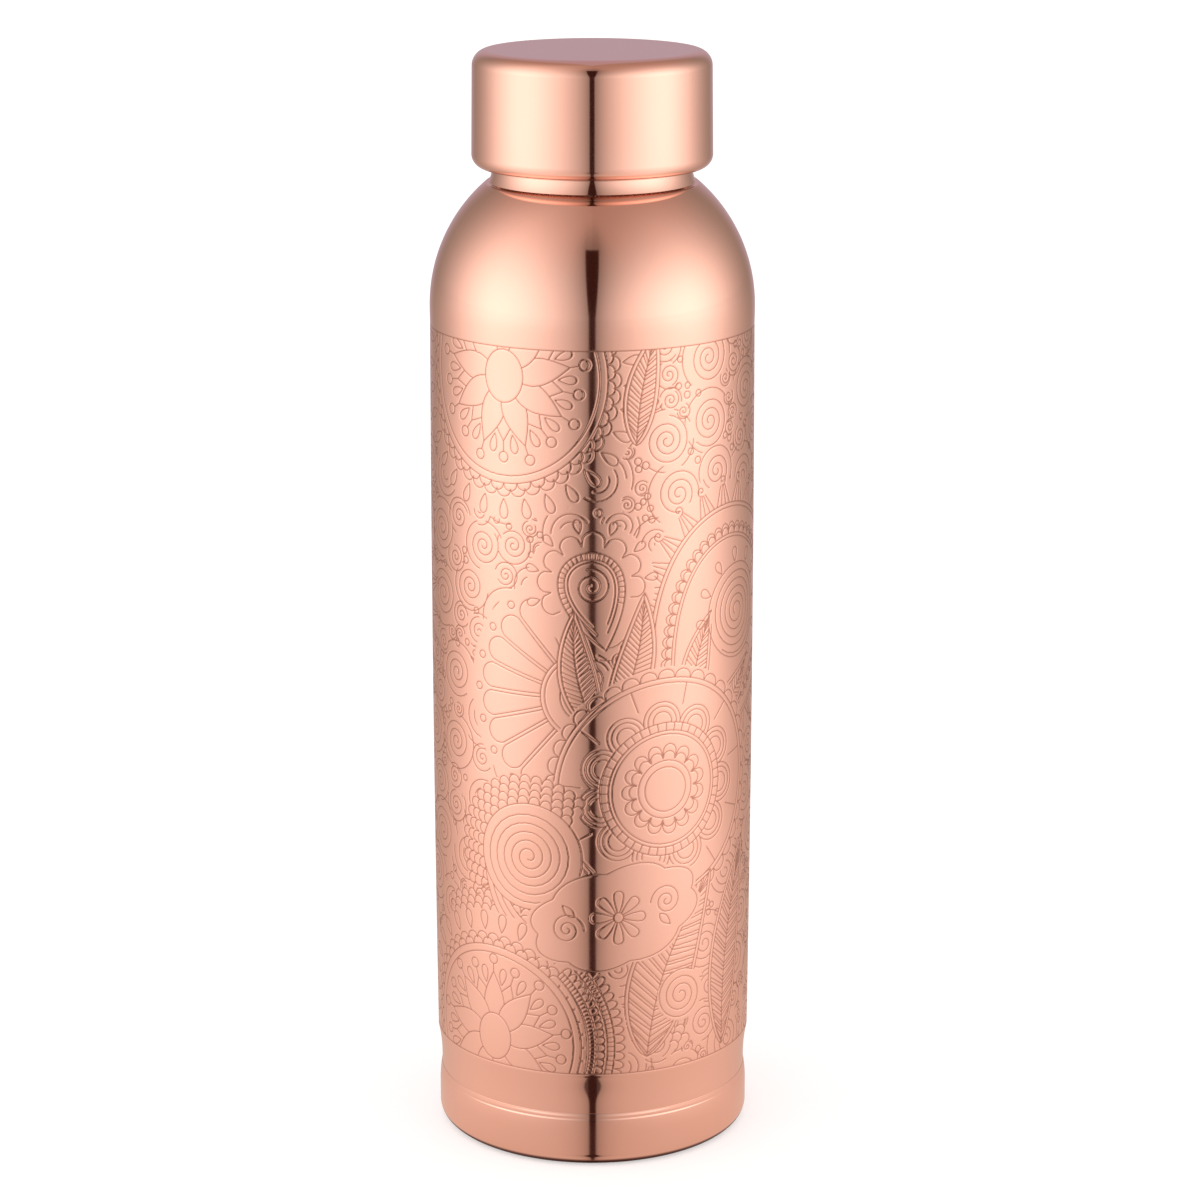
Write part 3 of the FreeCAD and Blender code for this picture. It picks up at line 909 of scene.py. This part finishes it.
class Nodes:
    """Short names for the shader nodes that the materials and the sky are made of."""

    def __init__(self, tree):
        self.tree = tree

    def add(self, kind, inputs=(), **settings):
        """A new node with its settings. Its inputs, by name or number, get values or links."""
        node = self.tree.nodes.new(kind)
        for name, value in settings.items():
            setattr(node, name, value)
        for name, value in dict(inputs).items():
            self.put(node.inputs[name], value)
        return node

    def put(self, socket, value):
        """Links a socket to an input, or sets the input to a value."""
        if isinstance(value, bpy.types.NodeSocket):
            self.tree.links.new(value, socket)
        else:
            socket.default_value = value

    def calc(self, operation, *values):
        """One step of arithmetic."""
        return self.add("ShaderNodeMath", enumerate(values), operation=operation).outputs[0]

    def ramp(self, value, low, high, low_out=0.0, high_out=1.0, kind="SMOOTHSTEP"):
        """A value that goes from low_out to high_out while its input goes from low to high."""
        inputs = enumerate((value, low, high, low_out, high_out))
        return self.add("ShaderNodeMapRange", inputs, interpolation_type=kind).outputs[0]

    def blend(self, share, first, second):
        """Two colours mixed: the first where share is 0, the second where it is 1."""
        colours = {6: first, 7: second}
        colour_out = 2
        node = self.add("ShaderNodeMix", {0: share, **colours}, data_type="RGBA")
        return node.outputs[colour_out]

    def mix(self, share, first, second):
        """Two shaders mixed: the first where share is 0, the second where it is 1."""
        inputs = enumerate((share, first, second))
        return self.add("ShaderNodeMixShader", inputs).outputs[0]

    def bell(self, value):
        """A smooth hump: one at zero, falling off both ways."""
        square = self.calc("MULTIPLY", value, value)
        return self.calc("EXPONENT", self.calc("MULTIPLY", square, -1.0))

    def pick(self, share, first, second):
        """The first number where share is 0, the second where it is 1."""
        return self.calc("MULTIPLY_ADD", share, second - first, first)

    def sum(self, first, second):
        """Two colours added."""
        inputs = {0: first, 1: second}
        return self.add("ShaderNodeVectorMath", inputs, operation="ADD").outputs[0]

    def scale(self, colour, amount):
        """A colour made lighter or darker."""
        inputs = {0: colour, "Scale": amount}
        return self.add("ShaderNodeVectorMath", inputs, operation="SCALE").outputs[0]

    def noise(self, place, scale, detail):
        """Cloudy variation between about 0 and 1."""
        inputs = {"Vector": place, "Scale": scale, "Detail": detail, "Roughness": 0.55}
        return self.add("ShaderNodeTexNoise", inputs).outputs["Fac"]

    def parts(self, vector):
        """The X, Y and Z of a vector."""
        return tuple(self.add("ShaderNodeSeparateXYZ", {"Vector": vector}).outputs)

    def azimuth(self, x, y):
        """The direction round Z, in radians: 0 at the front and positive to the viewer's right."""
        return self.calc("ARCTAN2", x, self.calc("MULTIPLY", y, -1.0))


def new_material(name):
    """A material with its node helper and its main shader."""
    material = bpy.data.materials.new(name)
    material.use_nodes = True
    nodes = Nodes(material.node_tree)
    shader = material.node_tree.nodes["Principled BSDF"]
    return material, nodes, shader


def copper_surface(name, roughness):
    """Copper with faint smudges and tone drift, with the nodes that its variants build on."""
    material, nodes, shader = new_material(name)
    place = nodes.add("ShaderNodeTexCoord").outputs["Object"]
    drift = nodes.ramp(nodes.noise(place, 26.0, 2.0), 0.35, 0.65)
    colour = nodes.blend(drift, COPPER, COPPER_WORN)
    smudge = nodes.noise(place, 90.0, 4.0)
    rough = nodes.ramp(smudge, 0.3, 0.75, roughness * 0.85, roughness * 1.2)
    nodes.put(shader.inputs["Base Color"], colour)
    nodes.put(shader.inputs["Roughness"], rough)
    nodes.put(shader.inputs["Metallic"], 1.0)
    return material, nodes, shader, place, colour, rough


def plain_copper(name, roughness):
    """Copper with one finish all over."""
    return copper_surface(name, roughness)[0]


def engraved_copper(name):
    """Polished copper whose band is brushed round the body, with browner cut lines."""
    material, nodes, shader, place, colour, rough = copper_surface(name, POLISH)
    height = nodes.parts(place)[2]
    above = nodes.calc("GREATER_THAN", height, BAND_LOW[1] * MM)
    below = nodes.calc("LESS_THAN", height, BAND_HIGH[1] * MM)
    band = nodes.calc("MULTIPLY", above, below)
    satin = nodes.calc("MULTIPLY", rough, nodes.pick(band, 1.0, BAND_SATIN))
    cut = nodes.add("ShaderNodeAttribute", attribute_name="groove").outputs["Fac"]
    dirt = nodes.ramp(cut, 0.1, 0.7)
    browned = nodes.blend(nodes.calc("MULTIPLY", dirt, PATINA_STRENGTH), colour, PATINA)
    rougher = nodes.calc("ADD", satin, nodes.calc("MULTIPLY", dirt, PATINA_ROUGHNESS))
    around = nodes.add("ShaderNodeTangent", direction_type="RADIAL", axis="Z")
    nodes.put(shader.inputs["Base Color"], browned)
    nodes.put(shader.inputs["Roughness"], rougher)
    nodes.put(shader.inputs["Anisotropic"], nodes.calc("MULTIPLY", band, BAND_BRUSHING))
    nodes.put(shader.inputs["Anisotropic Rotation"], 0.25)
    nodes.put(shader.inputs["Tangent"], around.outputs["Tangent"])
    return material


def edge_shaded_copper(name, bottom):
    """Polished copper that is darker on the underside of its lower edge: painted shade where the lid
    sits over the collar.
    """
    material, nodes, shader, place, colour, _ = copper_surface(name, POLISH)
    shade_below = bottom + EDGE_SHADE_RISE
    # Painted shade: the colour darkens towards the lid's lower edge, where it meets the collar
    edge_shade = nodes.ramp(nodes.parts(place)[2], shade_below, shade_below + EDGE_SHADE_FADE, 1.0, 0.0)
    nodes.put(shader.inputs["Base Color"], nodes.blend(edge_shade, colour, COPPER_EDGE_SHADE))
    return material


def rubber_material():
    """Food-grade silicone for the seal, translucent white with a fine moulded grain."""
    material, nodes, shader = new_material("seal_silicone")
    place = nodes.add("ShaderNodeTexCoord").outputs["Object"]
    grain = nodes.noise(place, 1400.0, 2.0)
    tone = nodes.blend(nodes.ramp(grain, 0.3, 0.7), SILICONE, SILICONE_PALE)
    nodes.put(shader.inputs["Base Color"], tone)
    nodes.put(shader.inputs["Roughness"], nodes.ramp(grain, 0.3, 0.7, 0.42, 0.58))
    relief = {"Height": grain, "Distance": SILICONE_GRAIN, "Strength": 0.4}
    bump = nodes.add("ShaderNodeBump", relief)
    nodes.put(shader.inputs["Normal"], bump.outputs["Normal"])
    nodes.put(shader.inputs["Subsurface Weight"], 0.15)
    nodes.put(shader.inputs["Subsurface Scale"], 0.002)
    return material


def give(piece, material):
    """Puts one material on the whole of a piece."""
    piece.data.materials.clear()
    piece.data.materials.append(material)


# ---------------------------------------------------------------- studio

def upper_light(nodes, azimuth, elevation):
    """Light of the room above the floor: a bright panel each side, plain walls and ceiling."""
    rad = math.radians
    aside = nodes.calc("ABSOLUTE", azimuth)
    off = nodes.calc("SUBTRACT", aside, rad(PANEL_AZIMUTH))
    outer = nodes.calc("GREATER_THAN", off, 0.0)
    width = nodes.pick(outer, rad(PANEL_INNER_WIDTH), rad(PANEL_OUTER_WIDTH))
    right = nodes.calc("GREATER_THAN", azimuth, 0.0)
    height = nodes.pick(right, rad(PANEL_LEFT_HEIGHT), rad(PANEL_RIGHT_HEIGHT))
    across = nodes.bell(nodes.calc("DIVIDE", off, width))
    upward = nodes.bell(nodes.calc("DIVIDE", elevation, height))
    panels = nodes.scale(PANEL_LIGHT, nodes.calc("MULTIPLY", across, upward))
    ceiling = nodes.ramp(elevation, rad(CEILING_FROM), rad(CEILING_TO))
    behind = nodes.ramp(aside, rad(BACK_FROM), rad(BACK_TO))
    walls = nodes.blend(behind, nodes.blend(ceiling, WALL_LIGHT, CEILING_LIGHT), BACK_LIGHT)
    return nodes.sum(panels, walls)


def with_gap(nodes, light, azimuth, elevation):
    """The same light with the narrow dark gap in front and the soft shade on both sides of it."""
    rad = math.radians
    half_width = nodes.ramp(
        elevation, 0.0, rad(SLOT_TOP), rad(SLOT_HALF_WIDTH), rad(SLOT_HALF_WIDTH_ABOVE), "LINEAR")
    from_bulge = nodes.calc("ADD", elevation, rad(SLOT_BULGE_BELOW))
    hump = nodes.bell(nodes.calc("DIVIDE", from_bulge, rad(SLOT_BULGE_HEIGHT)))
    bulged = nodes.calc("ADD", half_width, nodes.calc("MULTIPLY", hump, rad(SLOT_BULGE)))
    past = nodes.calc("SUBTRACT", nodes.calc("ABSOLUTE", azimuth), bulged)
    past = nodes.calc("MAXIMUM", past, 0.0)
    falloff = nodes.calc("EXPONENT", nodes.calc("DIVIDE", past, rad(-SHADE_WIDTH)))
    below_top = nodes.ramp(elevation, rad(SHADE_FADE_FROM), rad(SHADE_FADE_TO), 1.0, 0.0)
    shade = nodes.calc("MULTIPLY", nodes.calc("MULTIPLY", falloff, SHADE_STRENGTH), below_top)
    shaded = nodes.scale(light, nodes.calc("SUBTRACT", 1.0, shade))
    side = nodes.ramp(past, 0.0, rad(SLOT_BLUR), 1.0, 0.0)
    top = nodes.ramp(elevation, rad(SLOT_TOP - 1), rad(SLOT_TOP + 0.5), 1.0, 0.0)
    return nodes.blend(nodes.calc("MULTIPLY", side, top), shaded, SLOT_LIGHT)


def studio_sky():
    """Soft wrap-round light for the copper; the camera sees plain white behind the object."""
    world = bpy.data.worlds.new("studio")
    bpy.context.scene.world = world
    world.use_nodes = True
    world.node_tree.nodes.clear()
    nodes = Nodes(world.node_tree)
    x, y, z = nodes.parts(nodes.add("ShaderNodeTexCoord").outputs["Generated"])
    azimuth = nodes.azimuth(x, y)
    elevation = nodes.calc("ARCSINE", z)
    above = nodes.calc("GREATER_THAN", elevation, math.radians(FLOOR_EDGE_ELEVATION))
    room = nodes.blend(above, FLOOR_LIGHT, upper_light(nodes, azimuth, elevation))
    seen = with_gap(nodes, room, azimuth, elevation)
    backdrop = nodes.add("ShaderNodeLightPath").outputs["Is Camera Ray"]
    colour = nodes.blend(backdrop, seen, WHITE)
    glow = nodes.add("ShaderNodeBackground", {"Color": colour, "Strength": 1.0})
    end = nodes.add("ShaderNodeOutputWorld")
    nodes.put(end.inputs["Surface"], glow.outputs[0])


def mirrored_floor(nodes, place):
    """The floor as the copper mirrors it, painted as glowing light: a painted contact shadow at the
    foot, then ever more of the room's light.
    """
    x, y, _ = nodes.parts(place)
    squares = nodes.calc("ADD", nodes.calc("MULTIPLY", x, x), nodes.calc("MULTIPLY", y, y))
    away = nodes.calc("SQRT", squares)
    azimuth = nodes.azimuth(x, y)
    level = nodes.add("ShaderNodeValue").outputs[0]
    nodes.put(level, math.radians(FLOOR_ELEVATION))
    lit = with_gap(nodes, upper_light(nodes, azimuth, level), azimuth, level)
    far = nodes.add("ShaderNodeEmission", {"Color": lit}).outputs[0]
    clear = nodes.add("ShaderNodeBsdfTransparent").outputs[0]
    # Painted contact shadow: a dark glow on the floor close round the foot, seen only in the copper
    dark = nodes.add("ShaderNodeEmission", {"Color": SLOT_LIGHT}).outputs[0]
    foot_shadow = nodes.mix(nodes.ramp(away, CONTACT_SHADOW_FROM, CONTACT_SHADOW_TO, 1.0, 0.0), clear, dark)
    past = nodes.calc("MAXIMUM", nodes.calc("SUBTRACT", away, FLOOR_NEAR), 0.0)
    grown = nodes.calc("POWER", nodes.calc("DIVIDE", past, FLOOR_REACH), FLOOR_GROWTH)
    left = nodes.calc("EXPONENT", nodes.calc("MULTIPLY", grown, -1.0))
    return nodes.mix(nodes.calc("SUBTRACT", 1.0, left), foot_shadow, far)


def floor_material():
    """Plain pale studio surface; glossy rays see it as painted light instead, with a painted contact
    shadow at the foot.
    """
    material, nodes, shader = new_material("studio_floor")
    place = nodes.add("ShaderNodeTexCoord").outputs["Object"]
    grain = nodes.noise(place, 300.0, 2.0)
    nodes.put(shader.inputs["Base Color"], nodes.blend(grain, *FLOOR_TONES))
    nodes.put(shader.inputs["Roughness"], 0.9)
    nodes.put(shader.inputs["Specular IOR Level"], 0.1)
    nodes.put(shader.inputs["Emission Color"], WHITE)
    nodes.put(shader.inputs["Emission Strength"], FLOOR_GLOW)
    # Glossy rays get the painted light of the mirrored floor in place of its real shading
    glossy = nodes.add("ShaderNodeLightPath").outputs["Is Glossy Ray"]
    surface = nodes.mix(glossy, shader.outputs[0], mirrored_floor(nodes, place))
    nodes.put(material.node_tree.nodes["Material Output"].inputs["Surface"], surface)
    return material


def studio_floor():
    """Plain pale floor, a round plate that reaches past the picture."""
    mesh = bpy.data.meshes.new("floor")
    angles = [TURN * side / FLOOR_SIDES for side in range(FLOOR_SIDES)]
    ring = [(FLOOR_RADIUS * math.cos(a), FLOOR_RADIUS * math.sin(a), 0) for a in angles]
    mesh.from_pydata(ring, [], [list(range(FLOOR_SIDES))])
    floor = bpy.data.objects.new("floor", mesh)
    bpy.context.scene.collection.objects.link(floor)
    give(floor, floor_material())


def studio_lamp():
    """Soft overhead light for the floor and the contact shadow, not seen in the copper."""
    light = bpy.data.lights.new("overhead", "SUN")
    light.angle = math.radians(LAMP_ANGLE)
    light.energy = LAMP_ENERGY
    light.color = LAMP_COLOUR
    lamp = bpy.data.objects.new("overhead", light)
    lamp.location = (0, 0, LAMP_HEIGHT)
    lamp.visible_glossy = False
    bpy.context.scene.collection.objects.link(lamp)


def studio_camera():
    """Camera in front of the object, looking down on it a little."""
    data = bpy.data.cameras.new("camera")
    data.lens = LENS
    data.sensor_width = SENSOR_WIDTH
    camera = bpy.data.objects.new("camera", data)
    camera.location = CAMERA_PLACE
    camera.rotation_euler = (math.radians(90 - CAMERA_PITCH), 0, 0)
    bpy.context.scene.collection.objects.link(camera)
    bpy.context.scene.camera = camera


# ---------------------------------------------------------------- assembly

engraved = engraved_copper("copper_engraved")
mirror = plain_copper("copper_mirror", POLISH)
lid_copper = edge_shaded_copper("copper_lid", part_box("lid_shell")[0].z)
turned = plain_copper("copper_turned", TURNED_FINISH)

SKINS = (
    (body_skin, engraved, "bottle", "body_shell", "body_copper"),
    (base_skin, mirror, "bottle", "base_cup", "base_copper"),
    (collar_skin, mirror, "bottle", "neck_collar", "collar_copper"),
    (lid_skin, lid_copper, "lid", "lid_shell", "lid_copper"),
)
for make, material, body, node, slot in SKINS:
    skin = make()
    give(skin, material)
    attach(skin, body)
    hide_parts(node)

for node in ("neck_thread", "lid_sleeve", "lid_liner"):
    give(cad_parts[node], turned)
give(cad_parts["lid_seal"], rubber_material())

bpy.context.scene.view_settings.view_transform = "Standard"
studio_sky()
studio_floor()
studio_lamp()
studio_camera()
